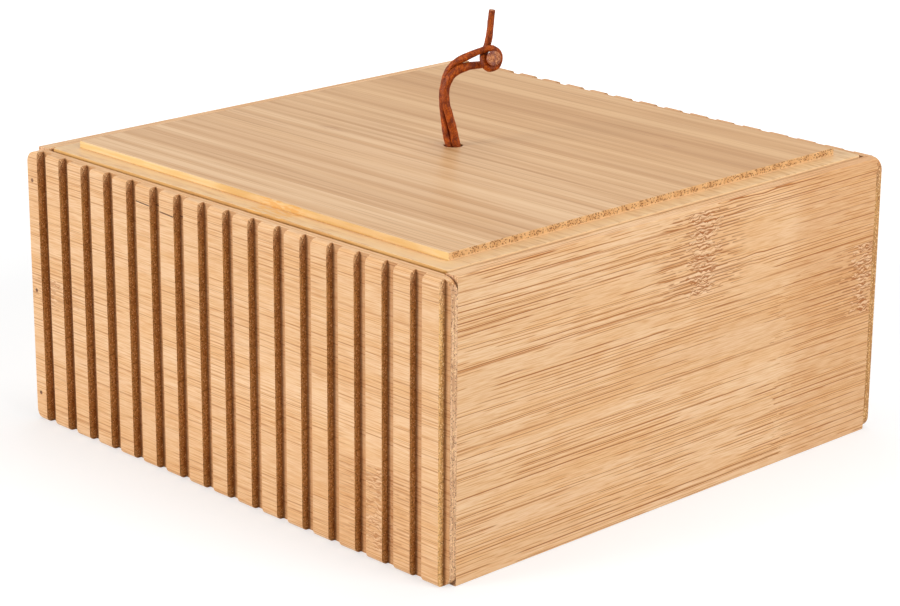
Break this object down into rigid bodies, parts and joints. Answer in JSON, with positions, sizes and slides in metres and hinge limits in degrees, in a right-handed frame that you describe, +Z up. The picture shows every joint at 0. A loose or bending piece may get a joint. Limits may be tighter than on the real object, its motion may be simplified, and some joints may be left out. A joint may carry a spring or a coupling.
{
  "type": "storage box",
  "caption": "Square bamboo storage box with vertically grooved front and back boards and a drop-in stepped lid lifted off by a knotted leather cord.",
  "frame": {"origin": "under the middle of the box, on the surface that it stands on", "axes": "+X to the right of the grooved front, +Y from the front to the back, +Z up"},
  "size_m": [0.2, 0.2026, 0.1433],
  "materials": {
    "bamboo_wall": "satin caramel bamboo",
    "bamboo_lid": "satin caramel bamboo, faint gloss",
    "bamboo_inside": "plain sanded bamboo",
    "brad_steel": "darkened steel",
    "pull_leather": "reddish brown round leather cord"
  },
  "bodies": {
    "box": {"front_panel": "bamboo_wall", "back_panel": "bamboo_wall", "left_side_panel": "bamboo_wall", "right_side_panel": "bamboo_wall", "bottom_panel": "bamboo_inside", "left_lid_cleat": "bamboo_inside", "right_lid_cleat": "bamboo_inside", "front_left_brads": "brad_steel", "back_left_brads": "brad_steel"},
    "lid": {"lid_board": "bamboo_lid", "pull_cord_long": "pull_leather", "pull_cord_short": "pull_leather", "pull_stop_knot": "pull_leather"}
  },
  "joints": [
    {"name": "lid_lift", "type": "slide", "parent": "box", "child": "lid", "axis": [0, 0, 1], "range_m": [0, 0.15]}
  ]
}
